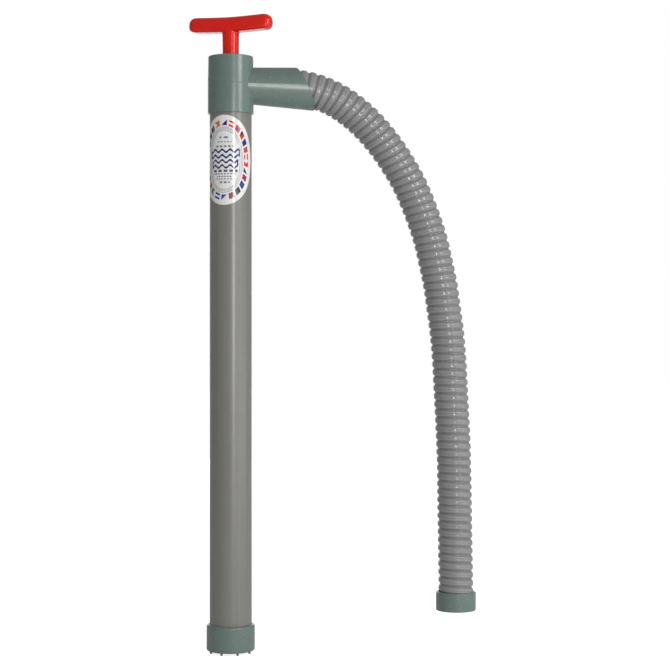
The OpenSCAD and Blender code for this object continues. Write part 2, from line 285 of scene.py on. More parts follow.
def times(tree, a, b):
    return maths(tree, "MULTIPLY", a, b)


def minus(tree, a, b):
    return maths(tree, "SUBTRACT", a, b)


def plus(tree, a, b, clamp=False):
    return maths(tree, "ADD", a, b, clamp=clamp)


def noise(tree, vector, scale, detail=2.0, roughness=0.5):
    node = tree.nodes.new("ShaderNodeTexNoise")
    tree.links.new(vector, node.inputs["Vector"])
    feed(tree, node.inputs["Scale"], scale)
    node.inputs["Detail"].default_value = detail
    node.inputs["Roughness"].default_value = roughness
    return node.outputs["Fac"]


def ramp(tree, value, low, high):
    """A Map Range from low..high to 0..1."""
    node = tree.nodes.new("ShaderNodeMapRange")
    node.inputs["From Min"].default_value = low
    node.inputs["From Max"].default_value = high
    tree.links.new(value, node.inputs["Value"])
    return node.outputs["Result"]


def mix(tree, factor, a, b, blend="MIX"):
    """A colour Mix node; a and b are colours or sockets."""
    node = tree.nodes.new("ShaderNodeMix")
    node.data_type = "RGBA"
    node.blend_type = blend
    for socket, value in ((node.inputs[0], factor), (node.inputs[6], a), (node.inputs[7], b)):
        feed(tree, socket, value)
    return node.outputs[2]


def stretched(tree, vector, scale):
    """The coordinates, scaled by axis, so that a pattern runs in streaks."""
    node = tree.nodes.new("ShaderNodeMapping")
    node.inputs["Scale"].default_value = scale
    tree.links.new(vector, node.inputs["Vector"])
    return node.outputs["Vector"]


# %% [markdown]
# **Moulded skin** is the orange peel and the cloudy gloss. It gives a height for a Bump node and a
# roughness that drifts round its base value.


# %% The moulded skin group
def make_moulded_skin():
    tree, given, out = new_group(
        "moulded_skin",
        [("Coordinates", VECTOR, None), ("Peel Scale", FLOAT, 900.0), ("Roughness", FLOAT, 0.35),
         ("Gloss Drift", FLOAT, 0.06)],
        [("Height", FLOAT), ("Roughness", FLOAT)])
    where = given.outputs["Coordinates"]
    peel = noise(tree, where, given.outputs["Peel Scale"], 3.0, 0.55)
    cloud = noise(tree, where, 45.0, 3.0, 0.6)
    drift = times(tree, minus(tree, cloud, 0.5), given.outputs["Gloss Drift"])
    fine = times(tree, minus(tree, peel, 0.5), 0.05)
    rough = plus(tree, plus(tree, given.outputs["Roughness"], drift), fine, clamp=True)
    tree.links.new(peel, out.inputs["Height"])
    tree.links.new(rough, out.inputs["Roughness"])
    return tree


moulded_skin = make_moulded_skin()

# %% [markdown]
# **Handling** tints the colour: faint cloudy soiling everywhere, and a few fine scuffs that run in
# streaks. The amounts stay small, because the pump is nearly new.


# %% The handling group
def make_handling():
    tree, given, out = new_group(
        "handling",
        [("Coordinates", VECTOR, None), ("Color", COLOR, None), ("Soiling", FLOAT, 0.12),
         ("Scuffs", FLOAT, 0.15)],
        [("Color", COLOR), ("Scuff Mask", FLOAT)])
    where = given.outputs["Coordinates"]
    cloud = ramp(tree, noise(tree, where, 28.0, 4.0, 0.6), 0.35, 0.75)
    speck = ramp(tree, noise(tree, where, 420.0, 2.0, 0.5), 0.62, 0.8)
    dirt = times(tree, plus(tree, cloud, speck, clamp=True), given.outputs["Soiling"])
    dirty = mix(tree, dirt, given.outputs["Color"], (0.09, 0.085, 0.07))
    lines = noise(tree, stretched(tree, where, (900.0, 900.0, 60.0)), 1.0, 2.0, 0.5)
    patches = ramp(tree, noise(tree, where, 60.0, 2.0, 0.5), 0.5, 0.72)
    scuff = times(tree, ramp(tree, lines, 0.63, 0.75), patches)
    scuff = times(tree, scuff, given.outputs["Scuffs"])
    tree.links.new(mix(tree, scuff, dirty, (0.55, 0.55, 0.53)), out.inputs["Color"])
    tree.links.new(scuff, out.inputs["Scuff Mask"])
    return tree


handling = make_handling()

# %% [markdown]
# **Edge wear** finds the convex edges with the Geometry node's Pointiness and lightens them a little, as
# rubbed plastic does.


# %% The edge wear group
def make_edge_wear():
    tree, given, out = new_group(
        "edge_wear",
        [("Color", COLOR, None), ("Amount", FLOAT, 0.3)],
        [("Color", COLOR)])
    point = tree.nodes.new("ShaderNodeNewGeometry").outputs["Pointiness"]
    edge = times(tree, ramp(tree, point, 0.52, 0.62), given.outputs["Amount"])
    lighter = mix(tree, 1.0, given.outputs["Color"], (1.5, 1.5, 1.5), "MULTIPLY")
    tree.links.new(mix(tree, edge, given.outputs["Color"], lighter), out.inputs["Color"])
    return tree


edge_wear = make_edge_wear()


# %% Build a plastic from the groups
def use(tree, group, **links):
    """Place a node group and feed its named inputs with numbers, colours or sockets."""
    node = tree.nodes.new("ShaderNodeGroup")
    node.node_tree = group
    for label, value in links.items():
        feed(tree, node.inputs[label.replace("_", " ")], value)
    return node


def new_material(name):
    material = bpy.data.materials.new(name)
    material.use_nodes = True
    tree = material.node_tree
    shader = tree.nodes["Principled BSDF"]
    where = tree.nodes.new("ShaderNodeTexCoord").outputs["Object"]
    return material, tree, shader, where


def bump(tree, shader, height, distance):
    node = tree.nodes.new("ShaderNodeBump")
    node.inputs["Distance"].default_value = distance
    tree.links.new(height, node.inputs["Height"])
    tree.links.new(node.outputs["Normal"], shader.inputs["Normal"])


def plastic(name, color, rough, peel=900.0, depth=0.02, soiling=0.1, scuffs=0.15, wear=0.25, ior=1.5,
            sink=0.0):
    """A moulded plastic: skin, handling marks and edge wear over one colour; sink is how far it ripples."""
    material, tree, shader, where = new_material(name)
    skin = use(tree, moulded_skin, Coordinates=where, Peel_Scale=peel, Roughness=rough)
    marks = use(tree, handling, Coordinates=where, Color=color, Soiling=soiling, Scuffs=scuffs)
    worn = use(tree, edge_wear, Color=marks.outputs["Color"], Amount=wear)
    tree.links.new(worn.outputs["Color"], shader.inputs["Base Color"])
    tree.links.new(skin.outputs["Roughness"], shader.inputs["Roughness"])
    ripple = noise(tree, stretched(tree, where, (75.0, 75.0, 45.0)), 1.0, 2.0, 0.5)
    bump(tree, shader, maths(tree, "MULTIPLY_ADD", ripple, sink, skin.outputs["Height"]), depth * MM)
    shader.inputs["IOR"].default_value = ior
    return material


# %% [markdown]
# The head, foot cap and cuff are one teal-grey moulding compound. The guide cap and the strainer have its
# colour in a more matt finish. The handle is a saturated red with more gloss. The valve parts inside are
# white nylon, black rubber and stainless steel.

# %% Make the plain plastics, rubber and steel
teal = plastic("teal_moulding", (0.127, 0.18, 0.164), rough=0.27, depth=0.01, soiling=0.14, scuffs=0.2,
               sink=24.0)
teal_matt = plastic("teal_matt", (0.118, 0.17, 0.155), rough=0.52, depth=0.02, soiling=0.2, scuffs=0.2)
red = plastic("red_moulding", (0.68, 0.009, 0.003), rough=0.2, peel=700.0, depth=0.005, soiling=0.05,
              scuffs=0.08, wear=0.15, ior=1.4)
nylon = plastic("white_nylon", (0.72, 0.70, 0.62), rough=0.4, soiling=0.05, scuffs=0.0, wear=0.1)
rubber = plastic("black_rubber", (0.018, 0.018, 0.018), rough=0.6, peel=1400.0, depth=0.04, soiling=0.2,
                 scuffs=0.1, wear=0.4)


def make_steel():
    """Turned stainless steel: fine rings of bump and an uneven shine."""
    material, tree, shader, where = new_material("stainless_steel")
    shader.inputs["Base Color"].default_value = (0.56, 0.57, 0.58, 1)
    shader.inputs["Metallic"].default_value = 1.0
    skin = use(tree, moulded_skin, Coordinates=where, Peel_Scale=1800.0, Roughness=0.28, Gloss_Drift=0.1)
    tree.links.new(skin.outputs["Roughness"], shader.inputs["Roughness"])
    lines = noise(tree, stretched(tree, where, (40.0, 40.0, 4000.0)), 1.0, 2.0, 0.5)
    bump(tree, shader, lines, 0.01 * MM)
    return material


steel = make_steel()

# %% [markdown]
# The barrel and the rod are extruded pipe. The die leaves faint lines along the pipe, so their pattern is
# stretched hard along Z, and the surface between is smoother than a moulding's.


# %% Make the extruded pipe
def pipe_plastic(name, color, rough):
    material, tree, shader, where = new_material(name)
    skin = use(tree, moulded_skin, Coordinates=where, Peel_Scale=1200.0, Roughness=rough, Gloss_Drift=0.025)
    marks = use(tree, handling, Coordinates=where, Color=color, Soiling=0.12, Scuffs=0.22)
    streak = noise(tree, stretched(tree, where, (1500.0, 1500.0, 6.0)), 1.0, 3.0, 0.6)
    broad = noise(tree, stretched(tree, where, (240.0, 240.0, 1.5)), 1.0, 2.0, 0.5)
    tone = ramp(tree, plus(tree, times(tree, streak, 0.4), times(tree, broad, 0.6)), 0.3, 0.7)
    shade = mix(tree, tone, (0.93, 0.93, 0.93), (1.05, 1.05, 1.04))
    tree.links.new(mix(tree, 1.0, marks.outputs["Color"], shade, "MULTIPLY"), shader.inputs["Base Color"])
    tree.links.new(skin.outputs["Roughness"], shader.inputs["Roughness"])
    height = plus(tree, times(tree, streak, 0.5), times(tree, skin.outputs["Height"], 0.5))
    bump(tree, shader, height, 0.003 * MM)
    return material


barrel_pipe = pipe_plastic("barrel_pipe", (0.185, 0.186, 0.175), 0.3)
rod_pipe = pipe_plastic("rod_pipe", (0.42, 0.43, 0.42), 0.3)

# %% [markdown]
# ## The discharge hose
#
# The real hose is soft vinyl wound into a corrugated tube: one helical rib runs its whole length, 8.25 mm
# from turn to turn. A stack of rings would look wrong in close-up, because the ribs of such a hose lean.
# So one pitch of the wall is drawn as a profile, the Screw modifier winds it up into a straight hose, and
# the Curve modifier bends that along the hanging line. Negative turns wind it left-handed, as this one is.
#
# The line is the frame's own route: distance from the barrel's axis, and height from the spout's axis.

# %% The hose's route
ROUTE_MM = [
    (50, 0), (57, 0), (64, 0), (74, -1), (84, -3), (94, -6), (104, -10),
    (113.5, -15), (122.5, -20.8), (132, -28), (142, -37), (151.5, -47),
    (162.5, -60.5), (173, -75.5), (183, -92), (192, -110.5), (200.5, -131.5),
    (207.5, -152.5), (213, -175), (218, -198), (221.5, -221.5), (225, -247),
    (227.5, -274), (229, -301), (230.5, -328), (232, -357), (233, -387),
    (233.5, -418), (234, -449), (234.5, -481), (235, -513), (235, -528.5)]
route = [Vector((x * MM, 0, spout_z + z * MM)) for x, z in ROUTE_MM]


def make_hose_line():
    """A smooth curve through the route's points."""
    data = bpy.data.curves.new("hose_line", "CURVE")
    data.dimensions = "3D"
    data.twist_mode = "MINIMUM"
    spline = data.splines.new("BEZIER")
    spline.bezier_points.add(len(route) - 1)
    for point, place_of in zip(spline.bezier_points, route):
        point.co = place_of
        point.handle_left_type = point.handle_right_type = "AUTO"
    spline.resolution_u = 10
    line = bpy.data.objects.new("hose_line", data)
    bpy.context.scene.collection.objects.link(line)
    return line, spline.calc_length()


hose_line, hose_length = make_hose_line()
print(f"the hose's line is {hose_length:.4f} m long")

# %% [markdown]
# The rib has a broad crest with a faint groove along its middle, so it catches each lamp twice, and the
# valley is narrow. The straight hose is wound a little too long and cut square at both ends, then
# Solidify gives it its wall, and only then is it bent.

# %% Wind the hose
HOSE_PITCH = 8.25 * MM
RIB_DEPTH = 1.75 * MM
HOSE_SIDES = 44
HOSE_WALL = 0.9 * MM

# Half a rib, crest to valley: how far along the pitch, and how far in from the crest.
HALF_RIB = [(0, 0.09), (0.07, 0.05), (0.14, 0.0), (0.21, 0.08), (0.29, 0.3), (0.37, 0.65), (0.44, 0.93)]
RIB = HALF_RIB + [(0.5, 1.0)] + [(1 - along, drop) for along, drop in reversed(HALF_RIB)]


def make_hose():
    mesh = bpy.data.meshes.new("hose")
    rows = [(hose_r - RIB_DEPTH * drop, 0, along * HOSE_PITCH) for along, drop in RIB]
    mesh.from_pydata(rows, [(i, i + 1) for i in range(len(rows) - 1)], [])
    hose = bpy.data.objects.new("hose", mesh)
    bpy.context.scene.collection.objects.link(hose)
    hose.location.z = -2 * HOSE_PITCH
    place(hose)
    turns = math.ceil(hose_length / HOSE_PITCH) + 4
    apply(hose, "SCREW", angle=-2 * math.pi, screw_offset=HOSE_PITCH, iterations=turns,
          steps=HOSE_SIDES, render_steps=HOSE_SIDES, use_smooth_shade=True)
    edit(hose)
    for cut, outer in ((0, False), (hose_length, True)):
        bpy.ops.mesh.select_all(action="SELECT")
        bpy.ops.mesh.remove_doubles(threshold=0.01 * MM)
        bpy.ops.mesh.bisect(plane_co=(0, 0, cut), plane_no=(0, 0, 1), use_fill=False,
                            clear_inner=not outer, clear_outer=outer)
    bpy.ops.mesh.select_all(action="SELECT")
    bpy.ops.mesh.normals_make_consistent(inside=False)
    done()
    apply(hose, "SOLIDIFY", thickness=HOSE_WALL, offset=-1)
    apply(hose, "CURVE", object=hose_line, deform_axis="POS_Z")
    only(hose)
    bpy.ops.object.shade_smooth()
    return hose


hose = make_hose()
print("hose faces:", len(hose.data.polygons))

# %% [markdown]
# The vinyl is glossier than the barrel, so each rib catches the lamps as a bright dot. The valleys are
# painted darker as shade, and the crests a little lighter: a wave along the hose would need its own
# coordinates, so the painted shade comes from Pointiness, which is low where the wall is hollow.


# %% Make the hose's vinyl
def make_vinyl():
    material, tree, shader, where = new_material("hose_vinyl")
    skin = use(tree, moulded_skin, Coordinates=where, Peel_Scale=900.0, Roughness=0.15, Gloss_Drift=0.06)
    marks = use(tree, handling, Coordinates=where, Color=(0.236, 0.239, 0.242), Soiling=0.08, Scuffs=0.1)
    hollow = tree.nodes.new("ShaderNodeNewGeometry").outputs["Pointiness"]
    # Painted shade: the colour is halved in the valleys and raised a little on the crests, by Pointiness.
    painted_shade_ramp = ramp(tree, hollow, 0.43, 0.53)
    shade = mix(tree, painted_shade_ramp, (0.5, 0.5, 0.5), (1.06, 1.06, 1.06))
    tree.links.new(mix(tree, 1.0, marks.outputs["Color"], shade, "MULTIPLY"), shader.inputs["Base Color"])
    tree.links.new(skin.outputs["Roughness"], shader.inputs["Roughness"])
    bump(tree, shader, skin.outputs["Height"], 0.03 * MM)
    return material


hose.data.materials.append(make_vinyl())
ready(hose, "pump", "hose_pvc", "discharge_hose")

# %% [markdown]
# ## The hose's cuff
#
# The cuff is a short moulded collar: a socket for the hose from above and a lip with the outlet's bore
# below. It starts as a solid cylinder. Insetting and pushing in its two end faces makes the socket and
# the bore, and the rims are then rounded.


# %% A turned collar with a socket above and a bore below
def turned_collar(name, centre, radius, low, high, socket_r, floor_z, bore_r, top_round, base_round):
    """A cylinder pushed in from both ends, with its outer rims rounded."""
    bpy.ops.mesh.primitive_cylinder_add(
        vertices=128, radius=radius, depth=high - low, location=(*centre, (low + high) / 2))
    piece = named(name)
    place(piece)
    edit(piece)
    pick_faces(piece, lambda c, n: n.z > 0.9 and c.z > high - MM)
    bpy.ops.mesh.inset(thickness=radius - socket_r)
    extrude(z=floor_z - high)
    bpy.ops.mesh.inset(thickness=socket_r - bore_r)
    extrude(z=low - floor_z)
    bpy.ops.mesh.delete(type="FACE")
    pick_faces(piece, lambda c, n: n.z < -0.9 and c.z < low + MM)
    bpy.ops.mesh.inset(thickness=radius - bore_r)
    bpy.ops.mesh.delete(type="FACE")
    bpy.ops.mesh.select_all(action="SELECT")
    bpy.ops.mesh.remove_doubles(threshold=0.01 * MM)
    bevel_ring(piece, high, radius, top_round, centre, 6)
    bevel_ring(piece, low, radius, base_round, centre, 5)
    bevel_ring(piece, high, socket_r, 0.3 * MM, centre, 2)
    bevel_ring(piece, low, bore_r, 0.4 * MM, centre, 3)
    done()
    outwards(piece)
    smooth(piece, 40)
    return piece


cuff_low = bottom("hose_cuff")
CUFF_LIP = 5 * MM
HOSE_GAP = 0.2 * MM
cuff = turned_collar("cuff", (route[-1].x, 0), cuff_r, cuff_low, top("hose_cuff"), hose_r + HOSE_GAP,
                     cuff_low + CUFF_LIP, hose_bore_r, 1.8 * MM, 1.0 * MM)
cuff.data.materials.append(teal)
ready(cuff, "pump", "moulded_teal", "hose_cuff")

SPOUT_MOUTH_X = 74.6 * MM

# %% [markdown]
# ## The head
#
# The head is a moulded tee. Its body is a short cylinder, drawn in a little above the mould's parting
# line. The spout is a cone that leaves the body at that line, flares and droops slightly, and is cut off
# on a slant so that its lower lip carries the hose. A Boolean modifier joins the two and another hollows
# them. The crease where they meet is bevelled, because a mould never has a knife-sharp inside corner.

# %% The head's sizes
head_low, head_high = bottom("head"), top("head")
HEAD_DRAFT = 0.4 * MM
SEAM_HALF, SEAM_HEIGHT = 0.28 * MM, 0.12 * MM
SPOUT_WALL = 0.5 * MM
SPOUT_FLARE = math.radians(2.9)
SPOUT_DROOP = math.radians(1)
MOUTH_SLANT = math.radians(24)
SPOUT_LENGTH = 110 * MM
HOSE_SEAT_X = 50 * MM
SOCKET_TOP_DROP = 35.8 * MM
CREASE_ROUND, MOUTH_ROUND = 1.6 * MM, 0.35 * MM
TOP_ROUND, BASE_ROUND = 0.7 * MM, 0.4 * MM
BARREL_WALL = 2.8 * MM
RELIEF_X, RELIEF_DROOP, RELIEF_FLARE = 64 * MM, math.radians(3.6), math.radians(7)
barrel_bore_r = barrel_r - BARREL_WALL


def along_x(name, x, r_start, r_end, length, droop=0.0):
    """A cone whose axis starts on the spout's axis at x and points along +X, drooping a little."""
    bpy.ops.mesh.primitive_cone_add(vertices=112, radius1=r_start, radius2=r_end, depth=length)
    piece = named(name)
    piece.data.transform(Matrix.Translation((0, 0, length / 2)))
    piece.data.transform(Matrix.Rotation(math.radians(90) + droop, 4, "Y"))
    piece.data.transform(Matrix.Translation((x, 0, spout_z)))
    return piece


def upright(name, radius, low, high, radius_top=None, vertices=144):
    bpy.ops.mesh.primitive_cone_add(vertices=vertices, radius1=radius, radius2=radius_top or radius,
                                    depth=high - low, location=(0, 0, (low + high) / 2))
    piece = named(name)
    place(piece)
    return piece


def combine(piece, tool, operation):
    """Join or cut with another solid, which is then removed."""
    apply(piece, "BOOLEAN", object=tool, operation=operation, solver="EXACT")
    bpy.data.objects.remove(tool)


# %% Join the body and the spout
def make_head():
    body = upright("tee_head", head_r, head_low, head_high)
    edit(body)
    bpy.ops.mesh.select_all(action="SELECT")
    bpy.ops.mesh.bisect(plane_co=(0, 0, spout_z), plane_no=(0, 0, 1))
    pick_faces(body, lambda c, n: n.z > 0.9)
    shrink = (head_r - HEAD_DRAFT) / head_r
    bpy.ops.transform.resize(value=(shrink, shrink, 1), center_override=(0, 0, head_high))
    bevel_ring(body, head_high, head_r - HEAD_DRAFT, TOP_ROUND)
    bevel_ring(body, head_low, head_r, BASE_ROUND)
    done()
    root_r = hose_r + SPOUT_WALL - head_r * math.tan(SPOUT_FLARE)
    spout = along_x("spout_solid", 0, root_r, root_r + SPOUT_LENGTH * math.tan(SPOUT_FLARE),
                    SPOUT_LENGTH, SPOUT_DROOP)
    edit(spout)
    bpy.ops.mesh.select_all(action="SELECT")
    normal = (math.cos(MOUTH_SLANT), 0, math.sin(MOUTH_SLANT))
    bpy.ops.mesh.bisect(plane_co=(SPOUT_MOUTH_X, 0, spout_z), plane_no=normal, use_fill=True,
                        clear_outer=True)
    done()
    combine(body, spout, "UNION")
    return body


tee = make_head()
print("head faces after the join:", len(tee.data.polygons))


# %% [markdown]
# The crease is picked by where it is: edges that lie on the body's cylinder and on the spout's cone at
# once. The mouth's outer edge is picked by its slanted plane. Both are bevelled while the head is still
# solid, which keeps the bevels clean, and the bores are cut last.
#
# Where the halves of the mould meet, they leave a hair-thin ridge level with the spout. The head is cut
# into narrow bands there, and the edges in the middle are pushed out.

# %% Bevel the crease and the mouth, then cut the bores
def spout_radius(p):
    """How far a point is from the spout's drooping axis, and the cone's radius there."""
    axis = Vector((math.cos(SPOUT_DROOP), 0, -math.sin(SPOUT_DROOP)))
    offset = p - Vector((0, 0, spout_z))
    along = offset.dot(axis)
    root_r = hose_r + SPOUT_WALL - head_r * math.tan(SPOUT_FLARE)
    return (offset - axis * along).length, root_r + along * math.tan(SPOUT_FLARE)


def on_crease(a, b):
    for p in (a, b):
        far, cone = spout_radius(p)
        body = math.hypot(p.x, p.y)
        if p.x < 0 or abs(far - cone) > 0.15 * MM or abs(body - head_r) > HEAD_DRAFT + 0.1 * MM:
            return False
    return True


def on_mouth(a, b):
    normal = Vector((math.cos(MOUTH_SLANT), 0, math.sin(MOUTH_SLANT)))
    return all(abs((p - Vector((SPOUT_MOUTH_X, 0, spout_z))).dot(normal)) < 0.02 * MM for p in (a, b))


def finish_head():
    edit(tee)
    bpy.ops.mesh.select_all(action="SELECT")
    bpy.ops.mesh.remove_doubles(threshold=0.12 * MM)
    pick_edges(tee, on_crease)
    bpy.ops.mesh.bevel(offset=CREASE_ROUND, segments=7, affect="EDGES", clamp_overlap=True)
    pick_edges(tee, on_mouth)
    bpy.ops.mesh.bevel(offset=MOUTH_ROUND, segments=3, affect="EDGES", clamp_overlap=True)
    for step in (-2, -1, 0, 1, 2):
        bpy.ops.mesh.select_all(action="SELECT")
        bpy.ops.mesh.bisect(plane_co=(0, 0, spout_z + step * SEAM_HALF), plane_no=(0, 0, 1))
    pick_edges(tee, lambda a, b: max(abs(a.z - spout_z), abs(b.z - spout_z)) < 1e-6)
    bpy.ops.transform.shrink_fatten(value=SEAM_HEIGHT)
    done()
    spare = 1 * MM
    socket_top = bottom("head_cap") - SOCKET_TOP_DROP
    combine(tee, upright("cut", barrel_r + glue_gap, head_low - spare, socket_top), "DIFFERENCE")
    combine(tee, upright("cut", barrel_bore_r, head_low, bottom("head_cap")), "DIFFERENCE")
    combine(tee, upright("cut", cap_r + glue_gap, bottom("cap_gasket"), head_high + spare), "DIFFERENCE")
    combine(tee, along_x("cut", 0, hose_bore_r, hose_bore_r, HOSE_SEAT_X + glue_gap), "DIFFERENCE")
    socket_r = hose_r + HOSE_GAP
    combine(tee, along_x("cut", HOSE_SEAT_X, socket_r, socket_r, SPOUT_LENGTH), "DIFFERENCE")
    relief_r = socket_r - 0.1 * MM
    combine(tee, along_x("cut", RELIEF_X, relief_r, relief_r + SPOUT_LENGTH * math.tan(RELIEF_FLARE),
                         SPOUT_LENGTH, RELIEF_DROOP), "DIFFERENCE")
    smooth(tee, 30)


finish_head()
tee.data.materials.append(teal)
ready(tee, "pump", "moulded_teal", "head")

# %% [markdown]
# ## The foot cap
#
# The foot cap is a collar like the cuff, with a wider inlet, softer corners and eight nubs under it. The
# pump stands on the nubs in the bilge, and the water gets in between them.


# %% Model the foot cap and its nubs
FOOT_FLOOR = 3 * MM
INLET_R = 14 * MM
NUB_COUNT, NUB_RING_R, NUB_TURN = 8, 20.7 * MM, math.radians(9.5)
NUB_ROOT_R, NUB_TIP_R = 1.3 * MM, 1.04 * MM
nub_low, nub_high = bottom("foot_cap"), 0.5 * MM


def make_nub():
    bpy.ops.mesh.primitive_cone_add(
        vertices=24, radius1=NUB_TIP_R, radius2=NUB_ROOT_R, depth=nub_high - nub_low,
        location=(NUB_RING_R, 0, (nub_high + nub_low) / 2))
    nub = named("nub")
    place(nub)
    edit(nub)
    pick_edges(nub, at_ring(nub_low, NUB_TIP_R, (NUB_RING_R, 0)))
    bpy.ops.mesh.bevel(offset=0.35 * MM, segments=3, affect="EDGES")
    done()
    return nub


def make_foot():
    foot = turned_collar("foot", (0, 0), foot_r, 0.0, top("foot_cap"), barrel_r + glue_gap,
                         FOOT_FLOOR, INLET_R, 2.5 * MM, 2.0 * MM)
    first = make_nub()
    nubs = [first]
    for i in range(1, NUB_COUNT):
        copy = first.copy()
        copy.data = first.data.copy()
        bpy.context.scene.collection.objects.link(copy)
        nubs.append(copy)
    for i, nub in enumerate(nubs):
        nub.data.transform(Matrix.Rotation(NUB_TURN + i * 2 * math.pi / NUB_COUNT, 4, "Z"))
    only(foot)
    for nub in nubs:
        nub.select_set(True)
    bpy.ops.object.join()
    smooth(foot, 40)
    return foot


foot = make_foot()
foot.data.materials.append(teal)
ready(foot, "pump", "moulded_teal", "foot_cap")

# %% [markdown]
# ## The barrel
#
# The barrel is plain pipe, cut square. It starts as a solid cylinder whose end faces are inset and bridged
# into a bore, and 160 sides keep its outline round in close-up.

# %% Model the barrel
def make_tube(name, radius, bore, low, high, sides, rim):
    bpy.ops.mesh.primitive_cylinder_add(vertices=sides, radius=radius, depth=high - low,
                                        location=(0, 0, (low + high) / 2))
    tube = named(name)
    place(tube)
    edit(tube)
    pick_faces(tube, lambda c, n: abs(n.z) > 0.9)
    bpy.ops.mesh.inset(thickness=radius - bore)
    bpy.ops.mesh.bridge_edge_loops()
    for z in (low, high):
        bevel_ring(tube, z, radius, rim, segments=2)
    done()
    outwards(tube)
    smooth(tube, 40)
    return tube


barrel = make_tube("barrel_pipe", barrel_r, barrel_bore_r, bottom("barrel"), top("barrel"),
                   sides=160, rim=0.3 * MM)
barrel.data.materials.append(barrel_pipe)
ready(barrel, "pump", "barrel_pvc", "barrel")

# %% [markdown]
# ## The label
#
# The label is printed vinyl wrapped round the barrel. It is modelled flat, as it is printed: a grid is
# pushed into an oval, given UVs in the label's own width and height, and then wrapped by turning each
# point's distance across the sheet into an angle round the barrel.

# %% Model the label flat, then wrap it
LABEL_W, LABEL_H = 62 * MM, 89 * MM
LABEL_T = 0.22 * MM
LABEL_TURN = math.radians(-117.5)
label_z = (bottom("label") + top("label")) / 2


def make_label():
    bpy.ops.mesh.primitive_grid_add(x_subdivisions=72, y_subdivisions=72, size=2)
    label = named("label_sheet")
    for vertex in label.data.vertices:
        u, v = vertex.co.x, vertex.co.y
        vertex.co = (u * math.sqrt(1 - v * v / 2), v * math.sqrt(1 - u * u / 2), 0)
    layer = label.data.uv_layers.active or label.data.uv_layers.new(name="sheet")
    for loop in label.data.loops:
        flat = label.data.vertices[loop.vertex_index].co
        layer.data[loop.index].uv = (0.5 + flat.x / 2, 0.5 + flat.y / 2)
    for vertex in label.data.vertices:
        across, up = vertex.co.x * LABEL_W / 2, vertex.co.y * LABEL_H / 2
        angle = LABEL_TURN + across / barrel_r
        radius = barrel_r + 0.01 * MM
        vertex.co = (radius * math.cos(angle), radius * math.sin(angle), label_z + up)
    apply(label, "SOLIDIFY", thickness=LABEL_T, offset=1)
    smooth(label, 40)
    return label


label = make_label()


# %% [markdown]
# The print has no lettering: a ring of small two-colour flags, a rope between two thin ovals, and bands of
# outlined waves with fine broken rules above and below. It is drawn with maths on the UVs, so it stays sharp
# in close-up. A few short helpers stand for the Math nodes that the drawing uses most.

# %% The label's inks and drawing helpers
RED, NAVY, BLUE, ORANGE = (0.66, 0.01, 0.01), (0.005, 0.014, 0.16), (0.015, 0.09, 0.42), (0.6, 0.13, 0.02)
BLACK, SLATE, INDIGO = (0.02, 0.02, 0.03), (0.12, 0.13, 0.2), (0.05, 0.055, 0.13)
PAPER = (0.74, 0.735, 0.72)


def over(tree, value, limit):
    """1 where value is over the limit."""
    return maths(tree, "GREATER_THAN", value, limit)


def under(tree, value, limit):
    """1 where value is under the limit."""
    return maths(tree, "LESS_THAN", value, limit)


def band(tree, value, low, high):
    """1 where value is between low and high."""
    return times(tree, over(tree, value, low), under(tree, value, high))


def ripple_of(tree, value, rate):
    """A sine wave along value."""
    return maths(tree, "SINE", times(tree, value, rate))


def ink_ramp(tree, value, inks):
    """One of the inks, picked by a value from 0 to 1."""
    node = tree.nodes.new("ShaderNodeValToRGB")
    node.color_ramp.interpolation = "CONSTANT"
    stops = node.color_ramp.elements
    while len(stops) < len(inks):
        stops.new(0.5)
    for i, ink in enumerate(inks):
        stops[i].position = i / len(inks)
        stops[i].color = (*ink, 1.0)
    tree.links.new(value, node.inputs["Fac"])
    return node.outputs["Color"]


# %% [markdown]
# Each flag is a small square with its own coordinates, and its pattern is one of six plain shapes: halved,
# halved aslant, a block, a wedge, checks or a bar. The angle about the centre, evened out so that every
# flag is as wide as the next, numbers the flags round the ring. Each number picks a pattern and two inks.

# %% Draw the ring of flags
FLAGS = 26
FLAG_HALF = 0.38
RING_IN, RING_OUT = 10.3, 4.6


def flag_pattern(tree, u, v, kind):
    """1 where a flag shows its second ink; u and v run from -1 to 1 across it, kind from 0 to 1."""
    wide, tall = maths(tree, "ABSOLUTE", u), maths(tree, "ABSOLUTE", v)
    checks = times(tree, ripple_of(tree, u, 6.3), ripple_of(tree, v, 6.3))
    patterns = [over(tree, u, 0.0),
                over(tree, plus(tree, u, v), 0.0),
                under(tree, maths(tree, "MAXIMUM", wide, tall), 0.42),
                over(tree, minus(tree, u, tall), 0.1),
                over(tree, checks, 0.0),
                under(tree, tall, 0.36)]
    total = None
    for i, pattern in enumerate(patterns):
        chosen = times(tree, pattern, band(tree, kind, i / len(patterns), (i + 1) / len(patterns)))
        total = chosen if total is None else plus(tree, total, chosen, clamp=True)
    return total


def shuffled(tree, number, step):
    """A value from 0 to 1 that jumps about from one flag to the next."""
    return maths(tree, "FRACT", times(tree, number, step))


def flag_ring(tree, turn, depth):
    """The ring of flags over the paper: turn is 0 to 1 round the oval, depth is mm in from its edge."""
    steps = times(tree, turn, FLAGS)
    number = maths(tree, "FLOOR", steps)
    along = minus(tree, minus(tree, steps, number), 0.5)
    u = maths(tree, "DIVIDE", along, FLAG_HALF)
    v = maths(tree, "DIVIDE", minus(tree, (RING_IN + RING_OUT) / 2, depth), (RING_IN - RING_OUT) / 2)
    inside = times(tree, band(tree, u, -1.0, 1.0), band(tree, v, -1.0, 1.0))
    pattern = flag_pattern(tree, u, v, shuffled(tree, number, 0.381))
    first = ink_ramp(tree, shuffled(tree, number, 0.237), [RED, NAVY, RED, BLUE, NAVY, ORANGE, RED, SLATE])
    second = ink_ramp(tree, shuffled(tree, number, 0.618), [PAPER, NAVY, PAPER, BLUE, PAPER, BLACK])
    return mix(tree, inside, PAPER, mix(tree, pattern, first, second))


